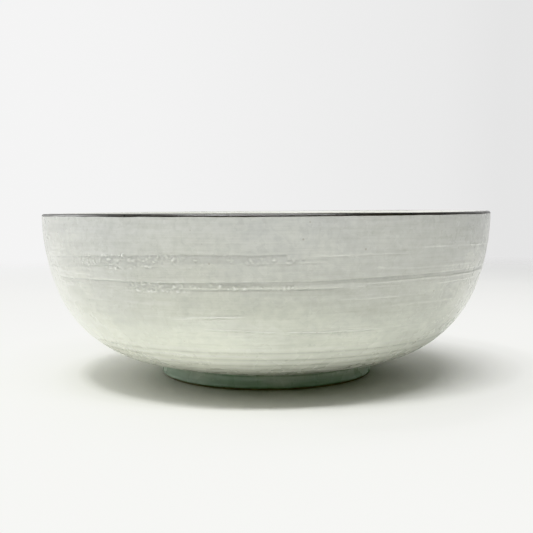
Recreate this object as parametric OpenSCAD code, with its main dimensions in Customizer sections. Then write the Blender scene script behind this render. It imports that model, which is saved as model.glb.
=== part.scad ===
// Porcelain serving bowl: a thrown wall on a turned foot ring, glazed inside and out, with a
// dark iron-oxide band on the lip and low brushed strokes of slip round the outside.
// The origin is the centre of the circle that the foot stands on. +Z runs up the bowl's axis.
// The outside is a chain of three tangent arcs: upper wall, belly and underside.

/* [Overall size] */
// Diameter across the lip
rim_d = 240; // [228:1:252]
// Height from the table to the top of the lip
bowl_h = 87.6; // [84:0.4:91.2]

/* [Wall] */
// Lean of the wall just under the lip, in degrees from upright
rim_lean = 0.7; // [0:0.1:3]
// Lean of the wall where the upper wall turns into the belly
belly_lean = 21; // [18:1:24]
// Lean of the wall where the belly turns into the underside
under_lean = 75; // [73:1:76]
// Radius of the shallow curve of the underside
under_r = 280; // [270:5:300]
// Thickness of the lip, with its glaze
lip_t = 3; // [2.4:0.1:4]
// Thickness of the floor at its centre, with both glazes
floor_t = 6; // [5:0.5:8]
// Lean of the inside where it turns into the floor
floor_lean = 84; // [80:1:86]

/* [Foot] */
// Diameter of the foot ring
foot_d = 114.8; // [106:0.2:118]
// Height of the foot ring where it meets the underside
foot_h = 7.4; // [7:0.1:9]
// Width of the foot ring at the table
foot_w = 6.2; // [5:0.1:8]
// How far the inner face of the foot ring leans in towards its top
foot_flare = 2.4; // [1:0.1:4]
// Radius of the two edges that the foot ring stands between
foot_edge_r = 1.1; // [0.6:0.1:1.5]
// Rise of the recess inside the foot ring, from its edge to its centre
recess_rise = 0.8; // [0.2:0.1:2]

/* [Glaze] */
// Thickness of every coat of glaze
glaze_t = 0.5; // [0.3:0.05:0.8]
// Height of the bare clay left under the glaze on the outside of the foot
bare_outer_h = 1.5; // [1.5:0.1:3]
// Height of the bare clay left under the glaze on the inside of the foot
bare_inner_h = 2.4; // [1.6:0.1:3]
// Radius of the glaze that fills the corner of the recess
recess_fillet_r = 2; // [1:0.1:3]

/* [Slip strokes] */
// How far the slip stands proud of the glaze at the middle of a stroke
slip_h = 0.35; // [0.2:0.05:0.6]
// Direction in which the upper stroke starts, in degrees round the axis
upper_start = 196; // [0:1:359]
// How far the upper stroke runs round the bowl
upper_sweep = 92; // [20:1:340]
// Direction in which the middle stroke starts
middle_start = 184; // [0:1:359]
// How far the middle stroke runs round the bowl
middle_sweep = 176; // [20:1:340]
// Direction in which the short lower stroke starts
short_start = 248; // [0:1:359]
// How far the short lower stroke runs round the bowl
short_sweep = 19; // [10:1:60]
// Direction in which the long lower stroke starts
long_start = 251; // [0:1:359]
// How far the long lower stroke runs round the bowl
long_sweep = 58; // [20:1:340]

/* [Hidden] */
$fn = 144;

// Straight steps that each curve of the outline is drawn with
upper_steps = 20;
belly_steps = 27;
under_steps = 4;
floor_steps = 4;
lip_steps = 12;
corner_steps = 6;

// Steps of the half-round lip that the iron band covers, counted from its outside
band_steps = 8;

// Steps of the wall, counted down from the lip, that each stroke of slip covers
upper_stroke_steps = [8, 12];
middle_stroke_steps = [14, 17];
short_stroke_steps = [21, 23];
long_stroke_steps = [24, 26];

rim_r = rim_d / 2;
foot_r = foot_d / 2;
lip_r = lip_t / 2;
foot_inner_r = foot_r - foot_w;
recess_r = foot_inner_r - foot_flare;

// The wall starts below the half-round lip, at its widest point
wall_top = [rim_r, bowl_h - lip_r - lip_r * sin(rim_lean)];
lip_centre = wall_top - lip_r * outward(rim_lean);

// The underside is an arc about the axis that passes through the top of the foot
under_z = foot_h + sqrt(under_r * under_r - foot_r * foot_r);
foot_lean = acos(foot_r / under_r);
under_top = [under_r * cos(under_lean), under_z - under_r * sin(under_lean)];

// Two arcs join the lip to the underside. Their radii solve two linear equations, one for the
// distance to cover sideways and one for the distance to cover downwards.
to_cover = wall_top - under_top;
upper_span = [cos(rim_lean) - cos(belly_lean), sin(belly_lean) - sin(rim_lean)];
belly_span = [cos(belly_lean) - cos(under_lean), sin(under_lean) - sin(belly_lean)];
spans_cross = upper_span.x * belly_span.y - belly_span.x * upper_span.y;
upper_r = (to_cover.x * belly_span.y - belly_span.x * to_cover.y) / spans_cross;
belly_r = (upper_span.x * to_cover.y - to_cover.x * upper_span.y) / spans_cross;
belly_top = wall_top - upper_r * upper_span;

// The clay of the body and of the foot ring meet on a level plane, under the glaze
join_r = foot_r - glaze_t;
join_z = under_z - sqrt(pow(under_r - glaze_t, 2) - join_r * join_r);
recess_z = join_z + recess_rise;

// The inside keeps the lip's thickness down the upper wall. Below that an arc carries it to
// the floor, which is a shallow dish about the axis.
floor_z = recess_z - glaze_t + floor_t;
inner_belly_top = belly_top - lip_t * outward(belly_lean);
dish_slope = tan((90 - floor_lean) / 2);
inner_belly_r = (inner_belly_top.y - floor_z - inner_belly_top.x * dish_slope)
    / (sin(floor_lean) - sin(belly_lean) - dish_slope * (cos(belly_lean) - cos(floor_lean)));
dish_top_r = inner_belly_top.x - inner_belly_r * (cos(belly_lean) - cos(floor_lean));
dish_r = dish_top_r / cos(floor_lean);

// Direction that a wall of this lean faces, outwards and down
function outward(lean) = [cos(lean), -sin(lean)];

// Leans from one angle to another in equal steps, leaving out the first
function leans(from, to, steps) = [for (i = [1:steps]) from + (to - from) * i / steps];

function reversed(points) = [for (i = [len(points) - 1:-1:0]) points[i]];

// A point on an arc that starts at a point where the wall has one lean and ends at another
function along_arc(start, radius, from, to) =
    start - radius * [cos(from) - cos(to), sin(to) - sin(from)];

// A point on the glazed outside where the wall has this lean
function outside_point(lean) =
    lean <= belly_lean ? along_arc(wall_top, upper_r, rim_lean, lean)
    : lean <= under_lean ? along_arc(belly_top, belly_r, belly_lean, lean)
    : [under_r * cos(lean), under_z - under_r * sin(lean)];

// A point on the glazed inside where the wall has this lean
function inside_point(lean) =
    lean <= belly_lean ? outside_point(lean) - lip_t * outward(lean)
    : lean <= floor_lean ? along_arc(inner_belly_top, inner_belly_r, belly_lean, lean)
    : [dish_r * cos(lean), floor_z + dish_r * (1 - sin(lean))];

outside_leans = concat(
    [rim_lean],
    leans(rim_lean, belly_lean, upper_steps),
    leans(belly_lean, under_lean, belly_steps),
    leans(under_lean, foot_lean, under_steps)
);
inside_leans = concat(
    [rim_lean],
    leans(rim_lean, belly_lean, upper_steps),
    leans(belly_lean, floor_lean, belly_steps),
    leans(floor_lean, 90, floor_steps)
);

// The outside from the lip to the foot, this far under the surface of the glaze
function outside_curve(depth) =
    [for (lean = outside_leans) outside_point(lean) - depth * outward(lean)];

// The inside from the lip to the centre of the floor, this far under the surface of the glaze
function inside_curve(depth) =
    [for (lean = inside_leans) inside_point(lean) + depth * outward(lean)];

// The half-round lip from its outside to its inside, this far under its surface
function lip_curve(depth, first, last) = [
    for (i = [first:last])
        let (turn = 180 * i / lip_steps - rim_lean)
            lip_centre + (lip_r - depth) * [cos(turn), sin(turn)]
];

// The ceiling of the recess from its edge to the axis, this far below the clay
function recess_curve(depth, edge_r) = [
    for (i = [0:floor_steps])
        let (x = edge_r * (1 - i / floor_steps))
            [x, recess_z - recess_rise * pow(x / recess_r, 2) - depth]
];

// Radius of the inner face of the foot ring at this height
function foot_inner_face(z) =
    foot_inner_r - foot_flare * (z - foot_edge_r) / (join_z - foot_edge_r);

// A rounded corner of the foot ring or of the recess
function corner(centre, radius, from, to) = [
    for (i = [0:corner_steps])
        let (turn = from + (to - from) * i / corner_steps)
            centre + radius * [cos(turn), sin(turn)]
];

// Clay of the wall and floor, inside its skins of glaze
module bowl_body() {
    color("#e9e7df")
        rotate_extrude()
            polygon(concat(
                outside_curve(glaze_t),
                [[join_r, join_z]],
                recess_curve(0, recess_r),
                reversed(inside_curve(glaze_t)),
                reversed(lip_curve(glaze_t, 1, lip_steps - 1))
            ));
}

// Clay ring that the bowl stands on, bare where it meets the table
module foot_ring() {
    outer_edge = [join_r - foot_edge_r, foot_edge_r];
    inner_edge = [foot_inner_r + foot_edge_r, foot_edge_r];
    color("#cfc8b8")
        rotate_extrude()
            polygon(concat(
                [[join_r, join_z]],
                corner(outer_edge, foot_edge_r, 0, -90),
                corner(inner_edge, foot_edge_r, -90, -180),
                [[recess_r, join_z]]
            ));
}

// Glaze over the outside of the wall, from the iron band to the foot
module outer_glaze() {
    color("#c9cbc3")
        rotate_extrude()
            polygon(concat(outside_curve(0), reversed(outside_curve(glaze_t))));
}

// Glaze over the inside, from the iron band on the lip to the centre of the floor
module inner_glaze() {
    color("#d3d5cd")
        rotate_extrude()
            polygon(concat(
                lip_curve(0, band_steps, lip_steps - 1),
                inside_curve(0),
                reversed(inside_curve(glaze_t)),
                reversed(lip_curve(glaze_t, band_steps, lip_steps - 1))
            ));
}

// Glaze over the outer face of the foot ring, down to the bare clay
module foot_glaze() {
    color("#9aa392")
        rotate_extrude()
            polygon([
                [foot_r, foot_h],
                outside_point(foot_lean) - glaze_t * outward(foot_lean),
                [join_r, join_z],
                [join_r, bare_outer_h],
                [foot_r, bare_outer_h]
            ]);
}

// Glaze over the recess inside the foot ring
module base_glaze() {
    wall_foot = [foot_inner_face(bare_inner_h), bare_inner_h];
    fillet_centre = [recess_r - glaze_t - recess_fillet_r, join_z - glaze_t - recess_fillet_r];
    color("#c2c6ba")
        rotate_extrude()
            polygon(concat(
                reversed(recess_curve(0, recess_r)),
                [wall_foot, wall_foot - [glaze_t, 0]],
                corner(fillet_centre, recess_fillet_r, 0, 90),
                recess_curve(glaze_t, fillet_centre.x - recess_fillet_r / 2)
            ));
}

// Dark iron-oxide band that covers the lip from its outside to just past its top
module rim_band() {
    color("#2f2a22")
        rotate_extrude()
            polygon(concat(
                lip_curve(0, 0, band_steps),
                reversed(lip_curve(glaze_t, 0, band_steps))
            ));
}

// One brushed stroke of slip: a low crowned strip that follows the wall over some of its steps
module slip_stroke(steps, start, sweep) {
    first = steps[0];
    last = steps[1];
    surface = outside_curve(0);
    crown = [
        for (i = [last - 1:-1:first + 1])
            surface[i] + slip_h * sin(180 * (i - first) / (last - first)) * outward(outside_leans[i])
    ];
    rotate_extrude(angle = sweep, start = start)
        polygon(concat([for (i = [first:last]) surface[i]], crown));
}

// Broad stroke under the lip
module upper_slip_stroke() {
    color("#dcddd5")
        slip_stroke(upper_stroke_steps, upper_start, upper_sweep);
}

// Long stroke at the middle of the wall
module middle_slip_stroke() {
    color("#dcddd5")
        slip_stroke(middle_stroke_steps, middle_start, middle_sweep);
}

// Short stroke and long stroke on the belly
module lower_slip_strokes() {
    color("#dcddd5") {
        slip_stroke(short_stroke_steps, short_start, short_sweep);
        slip_stroke(long_stroke_steps, long_start, long_sweep);
    }
}

bowl_body();
foot_ring();
outer_glaze();
inner_glaze();
foot_glaze();
base_glaze();
rim_band();
upper_slip_stroke();
middle_slip_stroke();
lower_slip_strokes();
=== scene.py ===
"""Looks of the porcelain serving bowl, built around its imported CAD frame.

Every coat that shows (outer, inner, foot and base glaze, iron band, slip strokes, bare foot) is
a closed mesh swept about the bowl's axis, with throwing rings, brush marks and beads modelled
in its surface. All lengths are metres in the CAD frame: the foot stands on z = 0.
"""
from math import acos, atan2, cos, pi, radians, sin, sqrt, tan

import bpy
import numpy as np
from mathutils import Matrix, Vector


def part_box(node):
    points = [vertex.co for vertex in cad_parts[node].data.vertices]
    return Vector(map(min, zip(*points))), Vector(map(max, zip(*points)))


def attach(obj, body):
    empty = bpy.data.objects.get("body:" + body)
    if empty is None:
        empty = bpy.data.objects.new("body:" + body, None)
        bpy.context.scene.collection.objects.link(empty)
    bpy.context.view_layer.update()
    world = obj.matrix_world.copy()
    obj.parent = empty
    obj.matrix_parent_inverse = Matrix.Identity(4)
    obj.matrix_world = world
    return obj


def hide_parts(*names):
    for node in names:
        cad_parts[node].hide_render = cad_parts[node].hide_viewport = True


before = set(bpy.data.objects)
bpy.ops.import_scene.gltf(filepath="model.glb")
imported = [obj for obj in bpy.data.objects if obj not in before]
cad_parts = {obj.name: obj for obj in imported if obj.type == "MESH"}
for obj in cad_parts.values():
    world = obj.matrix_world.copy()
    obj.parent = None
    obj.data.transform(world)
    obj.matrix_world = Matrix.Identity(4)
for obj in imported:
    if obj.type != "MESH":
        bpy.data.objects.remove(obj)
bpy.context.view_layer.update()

MM = 0.001
TAU = 2 * pi
FRONT = radians(270)                      # direction round the axis that faces the camera

# ---------------------------------------------------------------- shape of the bowl
RIM_R = max(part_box("rim_band")[1][:2])
BOWL_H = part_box("rim_band")[1][2]
FOOT_R = max(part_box("foot_glaze")[1][:2])
JOIN_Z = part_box("foot_glaze")[1][2]
FOOT_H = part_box("outer_glaze")[0][2]
RECESS_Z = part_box("base_glaze")[1][2]
GLAZE_T = 0.5 * MM
FLOOR_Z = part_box("inner_glaze")[0][2] + GLAZE_T

LIP_T = 3.0 * MM
LIP_OVERLAP = radians(26)                 # how far the outer coat runs on under the iron band
UNDER_R = 280 * MM                        # arc of the underside, from the belly to the foot
RIM_LEAN, BELLY_LEAN, UNDER_LEAN, FLOOR_LEAN = (radians(a) for a in (0.7, 21, 75, 84))
FOOT_EDGE_R = 1.1 * MM                    # rounding of the ring's inner lower edge
OUTER_EDGE_R = 0.8 * MM                   # rounding on the glazed side, a little sharper
FOOT_W = 6.2 * MM
FOOT_FLARE = 2.4 * MM
RECESS_R = FOOT_R - FOOT_W - FOOT_FLARE
RECESS_RISE = 0.8 * MM

# ---------------------------------------------------------------- marks of the hand
RING_PITCH = 6.0 * MM                     # turning grooves above the foot
GROOVES_TOP, GROOVES_FULL, GROOVES_FADE = 31 * MM, 25 * MM, 10 * MM    # heights of their zone
RIPPLE_PITCH = 5.4 * MM                   # faint rings on the rest of the outside
THROWING_PITCH = 7.5 * MM                 # spiral ridge inside
TURNING_PITCH = 3.6 * MM                  # spiral in the recess
CHANNEL_DEPTH = 0.24 * MM                 # of the outer coat under the slip strokes
BAND_EDGE, BAND_WAVER, BAND_END = (radians(a) for a in (10, 4, 102))   # turns round the lip
INNER_TONE_UNIT = 0.2 * MM                # inner relief that makes the full change of tone

# ---------------------------------------------------------------- fineness of the meshes
WALL_COLUMNS, BAND_COLUMNS, FOOT_COLUMNS, RECESS_COLUMNS = 480, 900, 560, 320
OUTER_ROWS, INNER_ROWS = 184, 150
HUB_R = 0.8 * MM                          # dishes run this near to the axis, then close to a point
BAND_BACK, STROKE_BACK = -0.4 * MM, -0.35 * MM    # where hidden backs lie, off the clay's arcs


def arc_chain(start, lean, arcs):
    """Tangent arcs down from a start point, each (radius, lean where it ends)."""
    rows = []
    at, s = np.array(start, float), 0.0
    for radius, end in arcs:
        rows.append((s, at[0], at[1], radius, lean))
        at = at - radius * np.array([cos(lean) - cos(end), sin(end) - sin(lean)])
        s += radius * (end - lean)
        lean = end
    return {"arcs": np.array(rows), "length": s}


def along(chain, s):
    """Radius, height and lean of the chain at distance s from its start."""
    s = np.asarray(s, float)
    arcs = chain["arcs"]
    k = np.clip(np.searchsorted(arcs[:, 0], s, side="right") - 1, 0, len(arcs) - 1)
    s0, r0, z0, radius, lean0 = (arcs[k, i] for i in range(5))
    lean = lean0 + (s - s0) / radius
    r = r0 - radius * (np.cos(lean0) - np.cos(lean))
    z = z0 - radius * (np.sin(lean) - np.sin(lean0))
    return r, z, lean


def solve_outside():
    """The outside as upper wall, belly and underside, with the two upper radii solved for."""
    top = np.array([RIM_R, BOWL_H - LIP_T / 2 * (1 + sin(RIM_LEAN))])
    under_z = FOOT_H + sqrt(UNDER_R**2 - FOOT_R**2)
    under_top = np.array([UNDER_R * cos(UNDER_LEAN), under_z - UNDER_R * sin(UNDER_LEAN)])
    spans = np.array([
        [cos(RIM_LEAN) - cos(BELLY_LEAN), cos(BELLY_LEAN) - cos(UNDER_LEAN)],
        [sin(BELLY_LEAN) - sin(RIM_LEAN), sin(UNDER_LEAN) - sin(BELLY_LEAN)],
    ])
    upper_r, belly_r = np.linalg.solve(spans, top - under_top)
    arcs = [(upper_r, BELLY_LEAN), (belly_r, UNDER_LEAN), (UNDER_R, acos(FOOT_R / UNDER_R))]
    return top, upper_r, arc_chain(top, RIM_LEAN, arcs)


def solve_inside():
    """The inside as upper wall, belly and the dish of the floor."""
    start = WALL_TOP - LIP_T * np.array([cos(RIM_LEAN), -sin(RIM_LEAN)])
    upper_r = UPPER_R - LIP_T
    turn = np.array([cos(RIM_LEAN) - cos(BELLY_LEAN), sin(BELLY_LEAN) - sin(RIM_LEAN)])
    belly_top = start - upper_r * turn
    slope = tan((pi / 2 - FLOOR_LEAN) / 2)
    across = cos(BELLY_LEAN) - cos(FLOOR_LEAN)
    belly_r = (belly_top[1] - FLOOR_Z - belly_top[0] * slope) / (
        sin(FLOOR_LEAN) - sin(BELLY_LEAN) - slope * across)
    dish_r = (belly_top[0] - belly_r * across) / cos(FLOOR_LEAN)
    arcs = [(upper_r, BELLY_LEAN), (belly_r, FLOOR_LEAN), (dish_r, pi / 2)]
    return arc_chain(start, RIM_LEAN, arcs)


WALL_TOP, UPPER_R, OUTSIDE = solve_outside()
INSIDE = solve_inside()
LIP_CENTRE = WALL_TOP - LIP_T / 2 * np.array([cos(RIM_LEAN), -sin(RIM_LEAN)])


def wall_distance(height):
    """Distance down the outside at which the wall is at this height."""
    s = np.linspace(0, OUTSIDE["length"], 2000)
    z = along(OUTSIDE, s)[1]
    return np.interp(-np.asarray(height, float), -z, s)


# ---------------------------------------------------------------- noise and relief
def soft_noise(theta, v, around, up, seed):
    """Smooth random field from -1 to 1: around cells about the axis, up cells over v = 0..1."""
    grid = np.random.default_rng(seed).uniform(-1, 1, (up + 2, around))
    a = np.mod(theta / TAU, 1.0) * around
    b = np.clip(v, 0, 1) * up
    i, j = np.floor(a).astype(int), np.floor(b).astype(int)
    fa, fb = a - i, b - j
    fa, fb = fa * fa * (3 - 2 * fa), fb * fb * (3 - 2 * fb)
    i0, i1 = i % around, (i + 1) % around
    low = grid[j, i0] * (1 - fa) + grid[j, i1] * fa
    high = grid[j + 1, i0] * (1 - fa) + grid[j + 1, i1] * fa
    return low * (1 - fb) + high * fb


def smooth_step(x, start, end):
    """0 below start, 1 above end, smooth between; start may be the larger."""
    t = np.clip((x - start) / (end - start), 0, 1)
    return t * t * (3 - 2 * t)


def bump(x, width):
    """A rounded ridge of height 1 centred on 0 and about this wide."""
    return np.exp(-((x / (0.42 * width)) ** 2))


def wall_streaks(theta, s):
    """Broad streaks left round the outside by the brush, from -1 to 1."""
    v = s / OUTSIDE["length"]
    streaks = 0.6 * soft_noise(theta, v, 34, 44, 11) + 0.4 * soft_noise(theta, v, 70, 56, 12)
    patches = smooth_step(soft_noise(theta, v, 9, 6, 13), -0.5, 0.5)
    return streaks * (0.35 + 0.65 * patches)


def belly_rings(theta, s):
    """The turning grooves above the foot, from -1 in a groove to about 0.3, fading up the wall."""
    v = s / OUTSIDE["length"]
    zone = smooth_step(s, wall_distance(GROOVES_TOP), wall_distance(GROOVES_FULL))
    zone = zone * (1 - 0.5 * smooth_step(s, wall_distance(GROOVES_FADE), OUTSIDE["length"]))
    phase = TAU * s / RING_PITCH + 0.5 * theta / TAU + 1.5 * soft_noise(theta, v, 5, 9, 4)
    off = np.abs(np.sin(phase / 2))
    strength = 0.55 + 0.45 * soft_noise(theta, v, 10, 24, 6)
    fine = 0.12 * soft_noise(theta, v, 6, 110, 7)
    return (0.25 * (1 - np.cos(phase)) - 0.2 - smooth_step(off, 0.36, 0.0) * strength + fine) * zone


def wall_relief(theta, s):
    """How far the outer glaze stands off the plain arcs."""
    v = s / OUTSIDE["length"]
    hand = 0.09 * soft_noise(theta, v, 5, 3, 1) + 0.04 * soft_noise(theta, v, 13, 8, 2)
    rings = 0.020 * np.sin(TAU * s / RIPPLE_PITCH + 1.5 * soft_noise(theta, v, 6, 5, 3))
    peel = 0.005 * soft_noise(theta, v, 150, 24, 5)
    fine = 0.012 * wall_streaks(theta, s)
    return MM * (hand + rings + peel + fine + 0.08 * belly_rings(theta, s))


def wall_tone(theta, s):
    """Where the outer glaze lies thin and white (above 0) or pooled and greyer (below 0); the
    strong grey in the turning grooves above the foot is partly painted shade.
    """
    return 0.30 * wall_streaks(theta, s) + 2.3 * belly_rings(theta, s)


def slip_channel(theta, s):
    """Depth by which the coat dips under the slip strokes, which lie in it."""
    angle = np.degrees(np.mod(theta - FRONT + pi, TAU) - pi)
    depth = 0.0
    for spec in (UPPER_STROKE, MIDDLE_STROKE, SHORT_STROKE, LONG_STROKE):
        first, last = spec["span"]
        off = (s - wall_distance(MM * path_height(spec, angle))) / (spec["half_width"] * MM)
        inside = smooth_step(np.abs(off), 0.85, 0.6)
        inside = inside * smooth_step(angle, first + 6, first + 10)
        depth = np.maximum(depth, inside * smooth_step(angle, last - 6, last - 10))
    return CHANNEL_DEPTH * depth


def path_height(spec, angle):
    """Height of a stroke's middle line at this angle, in millimetres."""
    places, heights = zip(*spec["path"])
    return np.interp(angle, places, heights)


def inner_relief(theta, s):
    """How far the inner glaze stands off the plain arcs, with the spiral of the throwing."""
    v = s / INSIDE["length"]
    hand = 0.10 * soft_noise(theta, v, 5, 4, 21) + 0.04 * soft_noise(theta, v, 15, 12, 22)
    spiral = np.sin(TAU * s / THROWING_PITCH + theta + 1.2 * soft_noise(theta, v, 5, 7, 23))
    deep = smooth_step(s, 30 * MM, 80 * MM)
    streaks = 0.6 * soft_noise(theta, v, 40, 110, 24) + 0.4 * soft_noise(theta, v, 70, 130, 25)
    return MM * (hand + 0.065 * spiral * deep + 0.035 * streaks)


def hand_warp(points):
    """The bowl's own slight unevenness, the same for every coat, so that they stay in touch.

    The rim dips a little at the back and left.
    """
    x, y, z = points[..., 0], points[..., 1], points[..., 2]
    theta = np.arctan2(y, x)
    high = smooth_step(z, 45 * MM, 88 * MM)
    dip = 0.3 * np.sin(theta).clip(0) ** 2 + 0.4 * (-np.cos(theta)).clip(0) ** 6
    lift = MM * high * (0.06 * soft_noise(theta, 0.5, 7, 2, 31) - dip)
    swell = 1 + 0.0014 * soft_noise(theta, 0.5, 5, 2, 32) * smooth_step(z, 12 * MM, 80 * MM)
    return np.stack([x * swell, y * swell, z + lift], axis=-1)


# ---------------------------------------------------------------- mesh building
def on_outside(theta, s, proud):
    """Points this far off the arcs of the outside."""
    r, z, lean = along(OUTSIDE, s)
    return to_points(theta, r + proud * np.cos(lean), z - proud * np.sin(lean))


def on_inside(theta, s, proud):
    """Points this far off the arcs of the inside, towards the axis."""
    r, z, lean = along(INSIDE, s)
    return to_points(theta, r - proud * np.cos(lean), z + proud * np.sin(lean))


def on_lip(theta, turn, proud):
    """Points on the half-round lip. The turn is 0 at its outside and pi at its inside."""
    radius = LIP_T / 2 + proud
    r = LIP_CENTRE[0] + radius * np.cos(turn - RIM_LEAN)
    z = LIP_CENTRE[1] + radius * np.sin(turn - RIM_LEAN)
    return to_points(theta, r, z)


def to_points(theta, r, z):
    theta, r, z = np.broadcast_arrays(theta, r, z)
    return np.stack([r * np.cos(theta), r * np.sin(theta), z], axis=-1)


def angles(count):
    return np.arange(count) * TAU / count


def add_mesh(name, points, faces, values=None):
    """A smooth-shaded mesh object from points, quad or polygon faces and a relief value each."""
    mesh = bpy.data.meshes.new(name)
    mesh.from_pydata(points.tolist(), [], faces)
    mesh.polygons.foreach_set("use_smooth", np.ones(len(mesh.polygons), bool))
    if values is not None:
        relief = mesh.attributes.new("relief", "FLOAT", "POINT")
        relief.data.foreach_set("value", np.asarray(values, np.float32).ravel())
    mesh.update()
    mesh.validate()
    piece = bpy.data.objects.new(name, mesh)
    bpy.context.scene.collection.objects.link(piece)
    return piece


def grid_faces(rows, columns, wrap_rows):
    """Quads between neighbouring rows of points that each run right round the axis."""
    j = np.arange(rows if wrap_rows else rows - 1)[:, None]
    i = np.arange(columns)[None, :]
    j1, i1 = (j + 1) % rows, (i + 1) % columns
    quads = [j * columns + i, j * columns + i1, j1 * columns + i1, j1 * columns + i]
    return np.stack(np.broadcast_arrays(*quads), axis=-1).reshape(-1, 4).tolist()


def ring_piece(name, rows, values=None):
    """A closed ring about the axis, from rows of points that go once round its section."""
    rows = hand_warp(rows)
    count, columns = rows.shape[:2]
    return add_mesh(name, rows.reshape(-1, 3), grid_faces(count, columns, True), values)


def disc_piece(name, rows, values=None):
    """A closed dish about the axis. The first and last rows close to points on the axis."""
    rows = hand_warp(rows)
    count, columns = rows.shape[:2]
    points = rows.reshape(-1, 3)
    first, last = len(points), len(points) + 1
    centres = np.array([[0, 0, rows[0, :, 2].mean()], [0, 0, rows[-1, :, 2].mean()]])
    faces = grid_faces(count, columns, False)
    end = (count - 1) * columns
    for i in range(columns):
        after = (i + 1) % columns
        faces.append([first, after, i])
        faces.append([last, end + i, end + after])
    if values is not None:
        values = np.concatenate([values.ravel(), [values[0].mean(), values[-1].mean()]])
    return add_mesh(name, np.concatenate([points, centres]), faces, values)


def strip_solids(name, strips):
    """Closed strips that run part of the way round, each (sections, values)."""
    points, faces, values, base = [], [], [], 0
    for sections, strip_values in strips:
        sections = hand_warp(sections)
        count, across = sections.shape[:2]
        index = base + np.arange(count * across).reshape(count, across)
        right = np.roll(index, -1, axis=1)
        quads = np.stack([index[:-1], right[:-1], right[1:], index[1:]], axis=-1)
        faces += quads.reshape(-1, 4).tolist()
        faces.append(index[0, ::-1].tolist())
        faces.append(index[-1].tolist())
        points.append(sections.reshape(-1, 3))
        values.append(strip_values.ravel())
        base += count * across
    return add_mesh(name, np.concatenate(points), faces, np.concatenate(values))


# ---------------------------------------------------------------- coats of glaze
def outer_glaze_coat():
    """The outer coat, its brushed surface outside and the clay side within."""
    theta = angles(WALL_COLUMNS)[None, :]
    s = np.linspace(0, OUTSIDE["length"], OUTER_ROWS)[:, None]
    relief = wall_relief(theta, s)
    turn = np.linspace(LIP_OVERLAP, 0, 5)[:-1, None]
    lip = on_lip(theta, turn, relief[:1])
    shown = on_outside(theta, s, relief - slip_channel(theta, s))
    s_back = np.linspace(OUTSIDE["length"], 0, 14)[:, None]
    hidden = np.concatenate([on_outside(theta, s_back, -GLAZE_T),
                             on_lip(theta, np.array([[LIP_OVERLAP]]), -GLAZE_T)])
    edge_tone, back_tone = (np.zeros(rows.shape[:2]) for rows in (lip, hidden))
    values = np.concatenate([edge_tone, wall_tone(theta, s), back_tone])
    piece = ring_piece("outer_glaze_coat", np.concatenate([lip, shown, hidden]), values)
    finish_piece(piece, "outer_glaze", OUTER_GLAZE)


def inner_glaze_coat():
    """The inner coat, from the centre of the floor up over the inner side of the lip."""
    theta = angles(WALL_COLUMNS)[None, :]
    s = np.linspace(INSIDE["length"] - HUB_R, 0, INNER_ROWS)[:, None]
    relief = inner_relief(theta, s)
    turn = np.linspace(pi, radians(86), 10)[1:, None]
    lip = on_lip(theta, turn, relief[-1:] * np.linspace(1, 0, 9)[:, None])
    lip_back = on_lip(theta, turn[::-1], -GLAZE_T)
    s_back = np.linspace(0, INSIDE["length"] - HUB_R, 20)[:, None]
    rows = [on_inside(theta, s, relief), lip, lip_back, on_inside(theta, s_back, -GLAZE_T)]
    values = np.zeros((sum(len(r) for r in rows), theta.size))
    values[: len(s)] = relief / INNER_TONE_UNIT
    piece = disc_piece("inner_glaze_coat", np.concatenate(rows), values)
    finish_piece(piece, "inner_glaze", INNER_GLAZE)


def rim_band_coat():
    """The iron band: it rolls over the lip and creeps down the outside in an uneven edge."""
    theta = angles(BAND_COLUMNS)[None, :]
    wave = soft_noise(theta, 0.5, 44, 2, 41) + 0.6 * soft_noise(theta, 0.5, 130, 2, 42)
    start = BAND_EDGE + BAND_WAVER * wave
    end = BAND_END + 0.12 * soft_noise(theta, 0.5, 50, 2, 44)
    coat = wall_relief(theta, np.zeros((1, 1)))
    body = coat + MM * (0.10 + 0.025 * soft_noise(theta, 0.5, 60, 2, 43))
    part = np.concatenate([[0, 0.012, 0.03, 0.06, 0.1], np.linspace(0.16, 1, 19)])[:, None]
    turn = start + (end - start) * part
    swelled = smooth_step(part, -0.02, 0.05) - 1.6 * smooth_step(part, 0.9, 1.0)
    top = on_lip(theta, turn, body * swelled - 0.06 * MM * (1 - smooth_step(part, 0, 0.03)))
    back = on_lip(theta, start + (end - start) * np.linspace(1, 0.02, 8)[:, None], BAND_BACK)
    rows = np.concatenate([top, back])
    edge = np.zeros(rows.shape[:2])
    edge[:5] = np.array([1.0, 0.9, 0.6, 0.25, 0.05])[:, None]
    edge[len(top) - 4:len(top)] = np.array([0.1, 0.3, 0.6, 1.0])[:, None]
    piece = ring_piece("rim_band_coat", rows[::-1], edge[::-1])
    finish_piece(piece, "rim_band", IRON_GLAZE)


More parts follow.
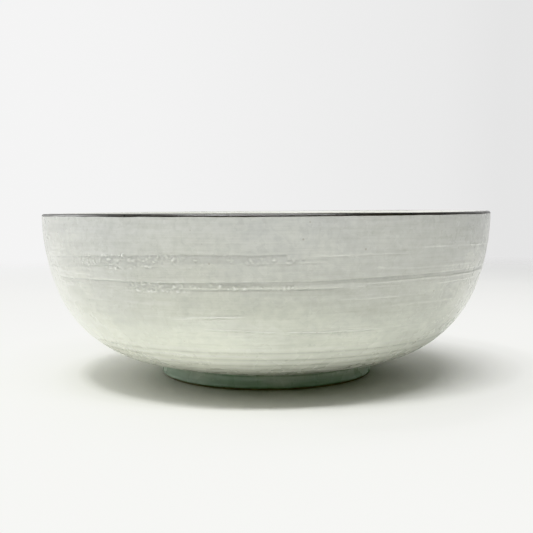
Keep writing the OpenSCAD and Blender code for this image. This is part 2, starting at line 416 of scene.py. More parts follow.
def foot_glaze_coat():
    """The coat on the foot: pooled in the corner under the bowl, with a rolled lower edge."""
    theta = angles(FOOT_COLUMNS)[None, :]
    fillet = 1.2 * MM
    length = OUTSIDE["length"]
    r_top, z_top, lean_top = along(OUTSIDE, length - fillet)
    run = np.linspace(0, 1, 12)[:, None]
    # The fillet is a smooth curve from the underside to the foot wall
    r0 = r_top - 0.02 * MM * sin(float(lean_top))
    pool = 0.08 * MM * soft_noise(theta, 0.5, 40, 2, 51)
    r_fillet = (1 - run) ** 2 * r0 + 2 * run * (1 - run) * FOOT_R + run**2 * (FOOT_R + 0.03 * MM)
    z_fillet = (1 - run) ** 2 * (z_top - 0.06 * MM) + 2 * run * (1 - run) * (FOOT_H - 0.1 * MM)
    z_fillet = z_fillet + run**2 * (FOOT_H - fillet)
    r_fillet = r_fillet + pool * np.sin(pi * run)
    lowest = MM * (0.85 + 0.12 * soft_noise(theta, 0.5, 36, 2, 52)
                   + 0.08 * soft_noise(theta, 0.5, 110, 2, 53))
    down = np.linspace(0, 1, 18)[1:, None]
    z_wall = (FOOT_H - fillet) * (1 - down) + lowest * down
    thick = 0.03 + 0.05 * soft_noise(theta, down, 30, 4, 54) + 0.14 * bump(down - 0.86, 0.3)
    thick = thick * (1 - smooth_step(down, 0.93, 1.0)) - 0.35 * smooth_step(down, 0.95, 1.0)
    wall = to_points(theta, FOOT_R + MM * (thick + 0.2 * down), z_wall)
    back_z = np.array([1.5 * MM, 4 * MM, JOIN_Z])[:, None]
    back = to_points(theta, FOOT_R - GLAZE_T, back_z)
    under = on_outside(theta, length - fillet, -0.25 * MM)[None, 0]
    rows = np.concatenate([to_points(theta, r_fillet, z_fillet), wall, back, under])
    piece = ring_piece("foot_glaze_coat", rows)
    finish_piece(piece, "foot_glaze", FOOT_GLAZE)


def foot_inner_face(z):
    """Radius of the clay on the inner face of the foot ring at this height."""
    flare = FOOT_FLARE * (z - FOOT_EDGE_R) / (JOIN_Z - FOOT_EDGE_R)
    return FOOT_R - FOOT_W - flare


def base_glaze_coat():
    """The coat in the recess, with a spiral from the turning tool and a thick rounded corner."""
    theta = angles(RECESS_COLUMNS)[None, :]
    corner = 2.6 * MM
    flat_r = RECESS_R - GLAZE_T - corner
    r = np.linspace(HUB_R, flat_r, 56)[:, None]
    clay_z = RECESS_Z - RECESS_RISE * (r / RECESS_R) ** 2
    spiral = 0.05 * np.sin(TAU * r / TURNING_PITCH + theta)
    uneven = 0.06 * soft_noise(theta, r / flat_r, 14, 9, 61)
    ceiling = to_points(theta, r, clay_z - GLAZE_T - MM * (spiral + uneven))
    turn = np.linspace(0, 1, 10)[1:, None] * pi / 2
    z_corner = clay_z[-1, 0] - GLAZE_T - corner
    lowest = MM * (2.5 + 0.25 * soft_noise(theta, 0.5, 40, 2, 62))
    round_part = to_points(theta, flat_r + corner * np.sin(turn), z_corner + corner * np.cos(turn))
    down = np.linspace(0, 1, 14)[1:, None]
    z_wall = z_corner * (1 - down) + lowest * down
    thick = MM * (0.5 + 0.12 * bump(down - 0.85, 0.3)) * (1 - smooth_step(down, 0.92, 1.0))
    wall = to_points(theta, foot_inner_face(z_wall) - thick, z_wall)
    back = [
        to_points(theta, foot_inner_face(lowest) + 0.05 * MM, lowest)[None, 0],
        to_points(theta, RECESS_R, np.array([[JOIN_Z]])),
        to_points(theta, r[::-6], clay_z[::-6]),
    ]
    rows = np.concatenate([ceiling, round_part, wall] + back)
    piece = disc_piece("base_glaze_coat", rows[::-1])
    finish_piece(piece, "base_glaze", BASE_GLAZE)


def foot_ring_clay():
    """The clay ring, with turning lines and a worn contact face."""
    theta = angles(FOOT_COLUMNS)[None, :]
    outer_r, inner_r = FOOT_R - GLAZE_T, FOOT_R - FOOT_W
    part = np.linspace(0, 1, 12)[:, None]
    flared_r = outer_r + 0.35 * MM
    side = to_points(theta, outer_r * (1 - part) + flared_r * part,
                     JOIN_Z * (1 - part) + OUTER_EDGE_R * part)
    turn = np.linspace(0, pi / 2, 9)[1:, None]
    outer_edge = to_points(theta, flared_r - OUTER_EDGE_R * (1 - np.cos(turn)),
                           OUTER_EDGE_R * (1 - np.sin(turn)))
    flat_r = np.linspace(flared_r - OUTER_EDGE_R, inner_r + FOOT_EDGE_R, 22)[1:, None]
    wear = 0.035 * MM * (1 + soft_noise(theta, part[:1], 90, 2, 71))
    lines = 0.02 * MM * (1 + np.sin(TAU * flat_r / (0.8 * MM)))
    contact = to_points(theta, flat_r, 0.4 * wear + lines)
    inner_edge = to_points(theta, inner_r + FOOT_EDGE_R * (1 - np.sin(turn)),
                           FOOT_EDGE_R * (1 - np.cos(turn)))
    up = np.linspace(0, 1, 10)[1:, None]
    z_up = FOOT_EDGE_R * (1 - up) + JOIN_Z * up
    inside = to_points(theta, foot_inner_face(z_up), z_up)
    rows = np.concatenate([side, outer_edge, contact, inner_edge, inside])
    piece = ring_piece("foot_ring_clay", rows)
    finish_piece(piece, "foot_ring", FOOT_CLAY)


# ---------------------------------------------------------------- brushed slip
def ridge_section(off, tall, wide):
    """Section of a bristle ridge, rounded above, with a hollow under its lower edge."""
    return tall * (bump(off, wide) - 0.6 * bump(off + 0.8 * wide, 1.1 * wide))


def cut_hollows(height, tone, spec, seed, angle, up):
    """Lowers the stroke along its hollows and greys them, with a band of painted shade under the
    upper edge of each.
    """
    wide = FRONT + np.radians(angle) + 0 * up
    for i, (low, high, depth, start, end) in enumerate(spec["hollows"]):
        shown = smooth_step(angle, start, start + 8) * smooth_step(angle, end, end - 8)
        low_edge, high_edge = (
            first_edge + (last_edge - first_edge) * np.clip((angle - start) / (end - start), 0, 1)
            + 0.16 * soft_noise(wide, 0.5, 60, 2, seed + 60 + 2 * i + j)
            for j, (first_edge, last_edge) in enumerate((low, high)))
        inside = smooth_step(up, low_edge - 0.25, low_edge + 0.25)
        inside = inside * smooth_step(up, high_edge + 0.2, high_edge - 0.2) * shown
        height = height - depth * inside
        # Greyer over the whole hollow for glaze pooled in it; the band just under the upper edge is
        # painted shade of the step above.
        tone = tone - (4.0 * depth + 0.8 * bump(up - high_edge + 0.2, 0.9)) * inside
    return height, tone


def raise_ridges(height, tone, spec, seed, angle, up):
    """Raises the ridges that single bristles left, broken here and there."""
    wide = FRONT + np.radians(angle) + 0 * up
    for i, (offset, drift, tall, width, start, end) in enumerate(spec["ridges"]):
        gaps = soft_noise(wide, 0.5, 75, 2, seed + 20 + i)
        broken = smooth_step(gaps, -1.3 + spec["gaps"], -0.6 + spec["gaps"])
        shown = smooth_step(angle, start, start + 4) * smooth_step(angle, end, end - 4)
        middle = offset + drift * (angle - start) / (end - start)
        middle = middle + 0.14 * soft_noise(wide, 0.5, 48, 2, seed + 40 + i)
        section = ridge_section(up - middle, tall, width) * broken * shown
        height = height + section
        # Tone follows the section: whiter on the ridge where the glaze runs thin, darker in the
        # hollow under its lower edge, partly glaze pooled there and partly painted shade.
        tone = tone + section / 0.22
    return height, tone


def scatter_beads(height, tone, spec, seed, angle, up):
    """Adds the glaze beads, and a few pits, each in a shallow ring; changes both arrays."""
    rng = np.random.default_rng(seed)
    for start, end, low_edge, high_edge, beads in spec["beads"]:
        for _ in range(beads):
            at, place = rng.uniform(start, end), rng.uniform(low_edge, high_edge)
            size, tall = rng.uniform(*BEAD_SIZE), rng.uniform(*BEAD_HEIGHT)
            long = size * rng.uniform(*BEAD_STRETCH)
            sign = -0.7 if rng.uniform() < PIT_SHARE else 1.0
            dx = (angle - at) * radians(1) * RIM_R / MM
            near = np.abs(dx[:, 0]) < 3 * long
            far_off = (dx[near] / (0.5 * long)) ** 2 + ((up - place) / (0.5 * size)) ** 2
            lump = np.exp(-far_off) - 0.35 * np.exp(-((np.sqrt(far_off) - 1.9) / 0.5) ** 2)
            height[near] += sign * tall * lump
            tone[near] += sign * 3.2 * tall * lump


def stroke(spec, seed):
    """One stroke as a raised strip: hollows, ridges, beads and bristle wrinkles on the wall."""
    first, last = spec["span"]
    half = spec["half_width"]
    across = int(2 * half / spec.get("pitch", STROKE_PITCH)) + 1
    count = int(RIM_R * radians(last - first) / (spec.get("step", STROKE_STEP) * MM))
    angle = np.linspace(first, last, count)[:, None]
    theta = FRONT + np.radians(angle)
    up = np.linspace(-half, half, across)[None, :]
    v = (up / half + 1) / 2 + 0 * angle
    wide = theta + 0 * up
    wander = 0.22 * soft_noise(theta, 0.5, 22, 2, seed + 1)
    wander = wander + 0.10 * soft_noise(theta, 0.5, 90, 2, seed + 13)
    s = wall_distance(MM * (path_height(spec, angle) + wander)) - MM * up

    height, tone = cut_hollows(0.0 * v, 0.0 * v, spec, seed, angle, up)
    height, tone = raise_ridges(height, tone, spec, seed, angle, up)
    rough = soft_noise(wide, v, 380, across // 2, seed + 3)
    rough = rough + soft_noise(wide, v, 80, across, seed + 4)
    height = height + spec["wrinkle"] * rough
    tone = tone + 3 * spec["wrinkle"] * rough
    scatter_beads(height, tone, spec, seed, angle, up)

    ragged = 2.5 * soft_noise(wide, v, 3, across, seed + 5)
    ends = smooth_step(angle, first + ragged + 2.5, first + ragged + 8)
    ends = ends * smooth_step(angle, last + ragged - 2.5, last + ragged - 8)
    inside = ends * (1 - np.abs(up / half) ** 8)
    proud = MM * (0.02 + np.maximum(height, -0.17)) * inside - 0.06 * MM * (1 - inside)
    shown = on_outside(theta, s, wall_relief(wide, s) + proud)
    hidden = on_outside(theta, s[:, [-1, 0]], STROKE_BACK)
    tone = wall_tone(wide, s) + np.clip(tone, -1.2, 1.2) * inside
    values = np.concatenate([tone, np.zeros((count, 2))], axis=1)
    return np.concatenate([shown, hidden], axis=1), values


STROKE_PITCH, STROKE_STEP = 0.27, 0.4     # mesh spacing across and along a stroke, millimetres
BEAD_SIZE, BEAD_HEIGHT = (0.75, 1.45), (0.15, 0.36)       # millimetres
BEAD_STRETCH, PIT_SHARE = (0.9, 1.5), 0.3
# Angles are degrees from the front, to the right, and other lengths are millimetres. A path is
# (angle, height) of the middle line, and what lies on it is placed up from that line: a ridge is
# (place, drift, height, width, first angle, last angle), a hollow is (its low edge where it
# starts and ends, its high edge likewise, depth, first angle, last angle), and beads are
# (first, last angle, low, high edge, how many). A higher "gaps" breaks the ridges up more.
UPPER_STROKE = {
    "span": (-74, 20), "half_width": 4.2, "wrinkle": 0.020, "gaps": 0.9,
    "path": [(-74, 63.4), (-54, 65.0), (-40, 66.3), (-24, 67.3), (20, 68.4)],
    "ridges": [(-3.1, 1.4, 0.11, 0.9, -50, -14), (-1.2, 0.2, 0.09, 0.8, -8, 14),
               (-0.4, 0.6, 0.05, 0.8, -60, -24), (1.0, 0.4, 0.04, 0.7, -24, 10)],
    "hollows": [((-3.0, -0.6), (2.7, 2.4), 0.12, -72, 18), ((1.2, 1.0), (2.7, 2.3), 0.05, -50, 12)],
    "beads": [(-46, -30, -1.4, 3.2, 56), (-31, -17, -1.2, 2.4, 34), (-38, -24, -3.6, -2.0, 16),
              (-5, 8, -1.4, 1.2, 22), (-17, -6, -0.8, 1.0, 3)],
}
MIDDLE_STROKE = {
    "span": (-72, 78), "half_width": 4.1, "wrinkle": 0.015, "gaps": 0.5,
    "path": [(-72, 56.5), (-48, 56.8), (-20, 57.2), (10, 57.9), (30, 58.8), (60, 59.3), (78, 59.3)],
    "ridges": [(1.5, 0.0, 0.10, 0.9, -70, -14), (-1.2, -1.0, 0.12, 0.9, -20, 24),
               (-3.2, 0.3, 0.07, 0.9, -36, 30), (1.7, 0.0, 0.05, 0.8, -14, 77),
               (-1.2, 0.2, 0.10, 0.9, 20, 74)],
    "hollows": [((-2.0, -0.8), (1.1, 1.0), 0.10, -60, 0), ((-0.5, -0.6), (1.3, 1.2), 0.17, -20, 77),
                ((-2.9, -3.4), (-1.8, -2.4), 0.12, -18, 20)],
    "beads": [(-31, -23, -0.8, 0.8, 22), (-24, -14, -1.4, 0.6, 12), (-30, -16, -4.0, -2.3, 28),
              (-13, -8, -0.6, 0.4, 7), (-9, 0, -2.2, -0.6, 8), (1, 6, -2.0, -1.0, 5),
              (18, 23, -2.2, -1.6, 2)],
}
SHORT_STROKE = {
    "span": (-28, 0), "half_width": 2.3, "wrinkle": 0.010, "gaps": 0.2,
    "path": [(-28, 41.3), (-15, 42.8), (0, 43.0)],
    "ridges": [(0.3, 0.0, 0.34, 0.95, -19, -3), (-0.6, 0.3, 0.10, 0.9, -25, -15),
               (-1.3, 0.0, 0.07, 0.9, -14, -1)],
    "hollows": [], "beads": [],
}
LONG_STROKE = {
    "span": (-32, 50), "half_width": 2.2, "wrinkle": 0.010, "gaps": 0.4,
    "path": [(-32, 36.0), (-16, 37.3), (-4, 36.3), (12, 35.6), (50, 36.6)],
    "ridges": [(0.6, -0.3, 0.20, 0.95, -17, 4), (-0.1, 0.1, 0.27, 1.0, -4, 30),
               (0.1, 0.0, 0.12, 0.9, 28, 48), (-1.2, 0.0, 0.06, 0.9, -30, 10)],
    "hollows": [], "beads": [],
}
# Single bristle marks that face the front: first angle, last angle, height, rise, strength
FRONT_MARKS = [
    (8, 34, 69.9, 0.01, 0.14), (34, 70, 72.0, -0.02, 0.14), (38, 66, 55.6, 0.0, 0.16),
    (14, 40, 50.6, 0.02, 0.12), (-66, -40, 60.4, -0.05, 0.10), (-64, -44, 54.2, 0.02, 0.10),
    (-70, -50, 69.5, 0.0, 0.07), (-20, 6, 75.5, 0.02, 0.07), (22, 60, 63.5, 0.0, 0.07),
    (-8, 10, 61.6, 0.02, 0.07), (26, 54, 46.8, 0.01, 0.06), (-50, -24, 48.6, 0.0, 0.06),
    (-44, -30, 28.6, -0.04, 0.08), (-22, 10, 30.4, 0.01, 0.05), (20, 56, 28.4, 0.01, 0.06),
]
BACK_MARKS = 26


def bristle_line(first, last, height, rise, strength, seed):
    """One fine raised line left by a bristle."""
    middle = (first + last) / 2
    path = [(a, height + rise * (a - middle)) for a in (first, last)]
    spec = {
        "span": (first - 4, last + 4), "half_width": 1.5, "wrinkle": 0.006, "pitch": 0.3,
        "step": 0.8, "gaps": 0.3, "path": path, "beads": [], "hollows": [],
        "ridges": [(0.0, 0.0, strength, 1.05, first, last)],
    }
    return stroke(spec, seed)


def brushed_slip():
    """The strokes that the CAD names, and the single bristle marks all round the wall."""
    groups = [
        ("upper_slip_relief", "upper_slip_stroke", [UPPER_STROKE], 100),
        ("middle_slip_relief", "middle_slip_stroke", [MIDDLE_STROKE], 200),
        ("lower_slip_relief", "lower_slip_strokes", [SHORT_STROKE, LONG_STROKE], 300),
    ]
    for name, node, specs, seed in groups:
        piece = strip_solids(name, [stroke(spec, seed + 40 * i) for i, spec in enumerate(specs)])
        finish_piece(piece, node, SLIP_GLAZE)
    rng = np.random.default_rng(77)
    marks = list(FRONT_MARKS)
    for _ in range(BACK_MARKS):
        first = rng.uniform(78, 240)
        last = min(first + rng.uniform(18, 70), 284)
        marks.append((first, last, rng.uniform(26, 76), rng.uniform(-0.02, 0.03),
                      rng.uniform(0.07, 0.26)))
    strips = [bristle_line(*mark, 400 + 60 * i) for i, mark in enumerate(marks)]
    piece = strip_solids("bristle_marks", strips)
    finish_piece(piece, None, SLIP_GLAZE)


# ---------------------------------------------------------------- materials
def new_material(name):
    material = bpy.data.materials.new(name)
    material.use_nodes = True
    tree = material.node_tree
    tree.nodes.clear()
    output = tree.nodes.new("ShaderNodeOutputMaterial")
    shader = tree.nodes.new("ShaderNodeBsdfPrincipled")
    tree.links.new(shader.outputs["BSDF"], output.inputs["Surface"])
    return material, tree, shader


def wire(tree, source, target):
    """Links an output socket to an input socket, or sets the input to a plain value."""
    if isinstance(source, bpy.types.NodeSocket):
        tree.links.new(source, target)
    else:
        target.default_value = source


def noise(tree, coords, scale, detail, rough=0.55):
    """Noise whose scale may differ by axis, in cells per metre."""
    mapping = tree.nodes.new("ShaderNodeMapping")
    mapping.inputs["Scale"].default_value = scale if isinstance(scale, tuple) else (scale,) * 3
    tree.links.new(coords, mapping.inputs["Vector"])
    texture = tree.nodes.new("ShaderNodeTexNoise")
    texture.inputs["Scale"].default_value = 1.0
    texture.inputs["Detail"].default_value = detail
    texture.inputs["Roughness"].default_value = rough
    tree.links.new(mapping.outputs["Vector"], texture.inputs["Vector"])
    return texture.outputs["Fac"]


def math_node(tree, operation, a, b):
    made = tree.nodes.new("ShaderNodeMath")
    made.operation = operation
    wire(tree, a, made.inputs[0])
    wire(tree, b, made.inputs[1])
    return made.outputs[0]


def remap(tree, value, low, high, to_low=0.0, to_high=1.0):
    made = tree.nodes.new("ShaderNodeMapRange")
    wire(tree, value, made.inputs["Value"])
    for key, number in zip(("From Min", "From Max", "To Min", "To Max"),
                           (low, high, to_low, to_high)):
        made.inputs[key].default_value = number
    return made.outputs["Result"]


def mix_colour(tree, factor, a, b, blend="MIX"):
    made = tree.nodes.new("ShaderNodeMix")
    made.data_type = "RGBA"
    made.blend_type = blend
    wire(tree, factor, made.inputs["Factor"])
    wire(tree, a, made.inputs["A"])
    wire(tree, b, made.inputs["B"])
    return made.outputs["Result"]


def add_bump(tree, shader, height, depth):
    made = tree.nodes.new("ShaderNodeBump")
    made.inputs["Strength"].default_value = 1.0
    made.inputs["Distance"].default_value = depth
    tree.links.new(height, made.inputs["Height"])
    tree.links.new(made.outputs["Normal"], shader.inputs["Normal"])


def rgb(red, green, blue):
    return (red, green, blue, 1.0)


def multiply_colour(tree, factor, a, tint):
    return mix_colour(tree, factor, a, tint, "MULTIPLY")


def colour_by_height(tree, height, stops):
    """Colours that blend from stop to stop up the bowl, each stop being (height, colour)."""
    ramp = tree.nodes.new("ShaderNodeValToRGB")
    scaled = remap(tree, height, 0.0, BOWL_H)
    tree.links.new(scaled, ramp.inputs["Fac"])
    while len(ramp.color_ramp.elements) < len(stops):
        ramp.color_ramp.elements.new(0.5)
    for element, (z, colour) in zip(ramp.color_ramp.elements, stops):
        element.position = z * MM / BOWL_H
        element.color = colour
    return ramp.outputs["Color"]


def turned_coords(tree, split):
    """Direction round the axis, and height plus radius, for marks that run round the bowl."""
    flat = tree.nodes.new("ShaderNodeCombineXYZ")
    tree.links.new(split.outputs["X"], flat.inputs["X"])
    tree.links.new(split.outputs["Y"], flat.inputs["Y"])
    length = tree.nodes.new("ShaderNodeVectorMath")
    length.operation = "LENGTH"
    tree.links.new(flat.outputs[0], length.inputs[0])
    direction = tree.nodes.new("ShaderNodeVectorMath")
    direction.operation = "NORMALIZE"
    tree.links.new(flat.outputs[0], direction.inputs[0])
    along_profile = tree.nodes.new("ShaderNodeCombineXYZ")
    wire(tree, math_node(tree, "ADD", split.outputs["Z"], length.outputs["Value"]),
         along_profile.inputs["Z"])
    made = tree.nodes.new("ShaderNodeVectorMath")
    made.operation = "ADD"
    tree.links.new(direction.outputs[0], made.inputs[0])
    tree.links.new(along_profile.outputs[0], made.inputs[1])
    return made.outputs[0]


def object_coords(tree):
    """Places on the object, in metres."""
    return tree.nodes.new("ShaderNodeTexCoord").outputs["Object"]


def split_axes(tree, coords):
    split = tree.nodes.new("ShaderNodeSeparateXYZ")
    tree.links.new(coords, split.inputs[0])
    return split


def relief_value(tree):
    """The relief that the mesh carries at each point."""
    relief = tree.nodes.new("ShaderNodeAttribute")
    relief.attribute_name = "relief"
    return relief.outputs["Fac"]


def iron_specks(tree, coords, speck):
    """Sparse small dots, from 0 to the given strength."""
    cells = tree.nodes.new("ShaderNodeTexVoronoi")
    cells.inputs["Scale"].default_value = 190.0
    tree.links.new(coords, cells.inputs["Vector"])
    dots = remap(tree, cells.outputs["Distance"], 0.06, 0.11, 1.0, 0.0)
    sparse = remap(tree, noise(tree, coords, 90.0, 2.0), 0.58, 0.63)
    return math_node(tree, "MULTIPLY", math_node(tree, "MULTIPLY", dots, sparse), speck)


def glaze_colour(tree, places, stops, pale, mottled):
    """Colour by height, clouded, dappled and streaked, whiter on ridges, greyer in hollows."""
    coords, split, turned = places
    patches = noise(tree, coords, 17.0, 3.0)
    clouds = noise(tree, coords, 95.0, 3.0)
    mottle = noise(tree, coords, 330.0, 3.0, 0.6)
    streaks = noise(tree, turned, (3.6, 3.6, 620.0), 4.0, 0.65)
    mottled = remap(tree, split.outputs["Z"], 14 * MM, 34 * MM, 0.3 * mottled, mottled)
    height = math_node(tree, "ADD", split.outputs["Z"],
                       remap(tree, patches, 0.3, 0.7, -6 * MM, 6 * MM))
    cloudy = math_node(tree, "MULTIPLY", remap(tree, clouds, 0.38, 0.66), mottled)
    dappled = math_node(tree, "MULTIPLY", remap(tree, mottle, 0.42, 0.66), mottled)
    relief = relief_value(tree)

    ground = colour_by_height(tree, height, stops)
    for factor, tint in (
        (remap(tree, patches, 0.40, 0.68, 0.0, 0.6), rgb(0.95, 0.955, 0.965)),
        (cloudy, rgb(0.945, 0.945, 0.95)),
        (dappled, rgb(0.92, 0.925, 0.92)),
        (remap(tree, streaks, 0.40, 0.68, 0.0, 0.9), rgb(0.90, 0.905, 0.89)),
        # Greyer where the relief value is low: glaze pooled in hollows, and partly painted shade in
        # the grooves, under ridges and under stroke edges.
        (remap(tree, relief, -0.05, -1.1, 0.0, 1.0), rgb(0.82, 0.82, 0.825)),
    ):
        ground = multiply_colour(tree, factor, ground, tint)
    return mix_colour(tree, remap(tree, relief, 0.05, 1.1, 0.0, 0.60), ground, pale), clouds


def glaze_surface(tree, places):
    """Faint ripples round the bowl and dimples, calmed towards the foot."""
    coords, split, turned = places
    ripple = noise(tree, turned, (3.6, 3.6, 420.0), 1.0)
    dimples = noise(tree, coords, 300.0, 1.0)
    surface = math_node(tree, "ADD", math_node(tree, "MULTIPLY", ripple, 0.8),
                        math_node(tree, "MULTIPLY", dimples, 0.4))
    calm = remap(tree, split.outputs["Z"], 22 * MM, 60 * MM, 0.04, 1.0)
    return math_node(tree, "MULTIPLY", surface, calm)


def celadon(name, stops, pale, mottled=1.0, speck=0.5):
    """Pale glaze over brushed slip, with a few iron specks, under a thin glossy coat."""
    material, tree, shader = new_material(name)
    coords = object_coords(tree)
    split = split_axes(tree, coords)
    places = (coords, split, turned_coords(tree, split))
    ground, clouds = glaze_colour(tree, places, stops, pale, mottled)
    ground = mix_colour(tree, iron_specks(tree, coords, speck), ground, rgb(0.30, 0.27, 0.20))
    wire(tree, ground, shader.inputs["Base Color"])
    wire(tree, remap(tree, clouds, 0.3, 0.7, 0.22, 0.34), shader.inputs["Roughness"])
    shader.inputs["IOR"].default_value = 1.5
    shader.inputs["Coat Weight"].default_value = 0.2
    shader.inputs["Coat Roughness"].default_value = 0.1
    add_bump(tree, shader, glaze_surface(tree, places), GLAZE_BUMP)
    return material


def iron_glaze():
    """Near-black iron glaze that breaks to brown at its thin edges."""
    material, tree, shader = new_material("iron_glaze")
    coords = object_coords(tree)
    cloud = noise(tree, coords, 320.0, 4.0)
    streak = noise(tree, coords, (160.0, 160.0, 1500.0), 3.0)
    ground = mix_colour(tree, remap(tree, cloud, 0.35, 0.7), rgb(0.010, 0.010, 0.007),
                        rgb(0.022, 0.019, 0.012))
    edge = math_node(tree, "MULTIPLY", remap(tree, relief_value(tree), 0.3, 1.0),
                     remap(tree, streak, 0.3, 0.7, 0.2, 0.9))
    ground = mix_colour(tree, edge, ground, rgb(0.10, 0.065, 0.035))
    wire(tree, ground, shader.inputs["Base Color"])
    wire(tree, remap(tree, cloud, 0.3, 0.7, 0.26, 0.38), shader.inputs["Roughness"])
    shader.inputs["IOR"].default_value = 1.75
    add_bump(tree, shader, cloud, GLAZE_BUMP)
    return material


def bare_clay(name, pale, dark, grit):
    """Fired clay with a fine tooth, toasted in patches."""
    material, tree, shader = new_material(name)
    coords = object_coords(tree)
    cloud = noise(tree, coords, 90.0, 4.0)
    grains = noise(tree, coords, 1900.0, 3.0, 0.7)
    ground = mix_colour(tree, remap(tree, cloud, 0.35, 0.68), pale, dark)
    ground = mix_colour(tree, remap(tree, grains, 0.55, 0.72, 0.0, 0.5), ground,
                        rgb(0.22, 0.17, 0.12))
    wire(tree, ground, shader.inputs["Base Color"])
    wire(tree, remap(tree, grains, 0.3, 0.7, 0.68, 0.9), shader.inputs["Roughness"])
    add_bump(tree, shader, grains, grit)
    return material


def finish_piece(piece, node, material):
    """Gives a piece its material, hangs it under the root and hides the CAD node it stands for."""
    piece.data.materials.append(material)
    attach(piece, "root")
    if node:
        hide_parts(node)


# Colours up the bowl are (height in millimetres, linear colour)
GLAZE_BUMP = 0.03 * MM
# The outer wall's colours grow much lighter towards the foot: painted light, standing in for light
# bounced up from the floor onto the lower belly.
WALL_STOPS_WITH_PAINTED_BOUNCE = [
    (8, rgb(0.93, 0.945, 0.825)), (20, rgb(0.88, 0.90, 0.785)), (32, rgb(0.79, 0.81, 0.71)),
    (46, rgb(0.69, 0.705, 0.62)), (60, rgb(0.68, 0.69, 0.625)), (86, rgb(0.695, 0.705, 0.665)),
]
WHITE_SLIP = rgb(0.90, 0.90, 0.86)
OUTER_GLAZE = celadon("outer_celadon", WALL_STOPS_WITH_PAINTED_BOUNCE, WHITE_SLIP)
SLIP_GLAZE = celadon("brushed_slip_celadon", WALL_STOPS_WITH_PAINTED_BOUNCE, WHITE_SLIP, mottled=0.8)
INNER_GLAZE = celadon("inner_celadon", [
    (14, rgb(0.60, 0.64, 0.53)), (30, rgb(0.66, 0.69, 0.60)), (60, rgb(0.70, 0.71, 0.65)),
    (88, rgb(0.74, 0.745, 0.70)),
], WHITE_SLIP, mottled=0.8, speck=0.6)
# The foot glaze is far darker and greener than the wall and darkest at its lower edge: painted
# shade, standing in for the shadow under the bowl.
FOOT_GLAZE = celadon("foot_celadon_painted_shade", [
    (1, rgb(0.40, 0.52, 0.41)), (4, rgb(0.46, 0.565, 0.46)), (8, rgb(0.56, 0.63, 0.52)),
], WHITE_SLIP, speck=0.4)
BASE_GLAZE = celadon("base_celadon", [
    (1, rgb(0.56, 0.60, 0.50)), (9, rgb(0.64, 0.67, 0.57)),
], WHITE_SLIP, speck=0.7)
IRON_GLAZE = iron_glaze()
# The bare foot clay is far darker than the porcelain body: painted shade for the dark contact line
# under the foot; its toasted patches are the clay's own.
FOOT_CLAY = bare_clay("foot_bare_clay_painted_shade", rgb(0.34, 0.32, 0.27), rgb(0.24, 0.21, 0.165), 0.05 * MM)
PORCELAIN = bare_clay("porcelain_body_clay", rgb(0.80, 0.78, 0.72), rgb(0.74, 0.71, 0.63),
                      0.02 * MM)


def dress_body():
    """The CAD body stays as it is, under the glazes, with a fired porcelain surface."""
    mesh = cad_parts["bowl_body"].data
    mesh.materials.clear()
    mesh.materials.append(PORCELAIN)


# ---------------------------------------------------------------- studio
def pale_floor():
    """A large pale disc that fades into the background at its rim, with painted shade darkening it
    where the bowl hangs close over it.
    """
    rings, columns, radius = 24, 96, 1.5
    theta = angles(columns)[None, :]
    r = radius * np.linspace(0, 1, rings + 1)[1:, None] ** 1.5
    points = to_points(theta, r, -0.02 * MM).reshape(-1, 3)
    faces = [face[::-1] for face in grid_faces(rings, columns, False)]
    faces.append(list(range(columns)))
    floor = add_mesh("studio_floor", points, faces)
    material, tree, shader = new_material("studio_floor_white")
    coords = object_coords(tree)
    length = tree.nodes.new("ShaderNodeVectorMath")
    length.operation = "LENGTH"
    tree.links.new(coords, length.inputs[0])
    fade = remap(tree, length.outputs["Value"], 0.45, 1.1, 1.0, 0.0)
    wire(tree, fade, shader.inputs["Alpha"])
    ground = mix_colour(tree, noise(tree, coords, 6.0, 2.0), rgb(0.92, 0.922, 0.90),
                        rgb(0.94, 0.942, 0.92))
    # Painted shade: the floor's colour is darkened by ambient occlusion where the bowl hangs close
    # over it
    occlusion_for_painted_shade = tree.nodes.new("ShaderNodeAmbientOcclusion")
    occlusion_for_painted_shade.inputs["Distance"].default_value = 70 * MM
    shade = remap(tree, occlusion_for_painted_shade.outputs["AO"], 0.2, 0.62, 1.0, 0.0)
    ground = multiply_colour(tree, shade, ground, rgb(0.72, 0.725, 0.70))
    wire(tree, ground, shader.inputs["Base Color"])
    shader.inputs["Roughness"].default_value = 0.75
    floor.data.materials.append(material)


def area_light(name, place, target, size, watts):
    """A soft rectangular light at a place, turned to face its target."""
    light = bpy.data.lights.new(name, "AREA")
    light.shape = "RECTANGLE"
    light.size, light.size_y = size
    light.energy = watts
    holder = bpy.data.objects.new(name, light)
    bpy.context.scene.collection.objects.link(holder)
    holder.location = place
    x, y, z = (t - p for t, p in zip(target, place))
    holder.rotation_euler = (atan2(sqrt(x * x + y * y), -z), 0, atan2(-x, y))


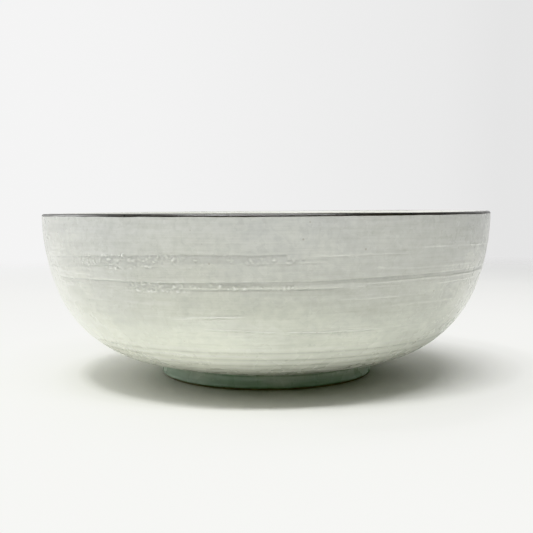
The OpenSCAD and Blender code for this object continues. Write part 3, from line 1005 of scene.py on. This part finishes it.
def studio_world():
    """Pale surroundings: a plain backdrop for the camera, and light strongest from the left."""
    world = bpy.data.worlds.new("studio_world")
    world.use_nodes = True
    tree = world.node_tree
    background = tree.nodes["Background"]
    split = split_axes(tree, tree.nodes.new("ShaderNodeTexCoord").outputs["Generated"])
    shares = []
    for axis, below, above in SIDE_LIGHT:
        share = math_node(tree, "MULTIPLY", split.outputs[axis], split.outputs[axis])
        side = remap(tree, split.outputs[axis], -0.01, 0.01, below, above)
        shares.append(math_node(tree, "MULTIPLY", share, side))
    rising = remap(tree, split.outputs["Z"], 0.0, 0.45, 0.80, 1.08)
    light = math_node(tree, "MULTIPLY", math_node(tree, "ADD", *shares), rising)
    backdrop = remap(tree, split.outputs["X"], -0.26, 0.26, 1.20, 0.84)
    seen = tree.nodes.new("ShaderNodeLightPath").outputs["Is Camera Ray"]
    tree.links.new(mix_colour(tree, seen, light, backdrop), background.inputs["Color"])
    bpy.context.scene.world = world


def photo_camera():
    """Low in front, tilted a little down, with the bowl filling the width."""
    data = bpy.data.cameras.new("photo_camera")
    data.sensor_width = 36.0
    data.lens = CAMERA_LENS
    data.clip_start = 0.02
    camera = bpy.data.objects.new("photo_camera", data)
    bpy.context.scene.collection.objects.link(camera)
    camera.location = CAMERA_PLACE
    camera.rotation_euler = (radians(90 - CAMERA_TILT), radians(CAMERA_ROLL), 0)
    bpy.context.scene.camera = camera


# How bright the surroundings are on the negative and the positive side of each axis
SIDE_LIGHT = (("X", 0.90, 0.44), ("Y", 0.0, 1.15))
# Lights: name, place, target, (width, depth) in metres, watts
LIGHTS = [
    ("key_strip", (0.05, -0.45, 1.05), (0, 0, 0.04), (0.8, 0.12), 8.6),
    ("left_strip", (-0.35, -0.32, 1.05), (0, 0, 0.04), (0.35, 0.12), 2.7),
    ("left_panel", (-1.2, 0.5, 0.6), (0, 0, 0.05), (0.7, 0.7), 5.0),
    ("back_panel", (-0.20, 0.25, 1.15), (0, 0, 0.04), (0.9, 0.3), 4.4),
]
CAMERA_PLACE = (0.33 * MM, -472 * MM, 90.6 * MM)
CAMERA_LENS = 57.55                       # millimetres, on a 36 mm sensor
CAMERA_TILT, CAMERA_ROLL = 4.04, 0.35     # degrees


def build():
    dress_body()
    outer_glaze_coat()
    inner_glaze_coat()
    rim_band_coat()
    foot_glaze_coat()
    base_glaze_coat()
    foot_ring_clay()
    brushed_slip()
    pale_floor()
    studio_world()
    for light in LIGHTS:
        area_light(*light)
    photo_camera()
    bpy.context.scene.view_settings.view_transform = "Khronos PBR Neutral"


build()
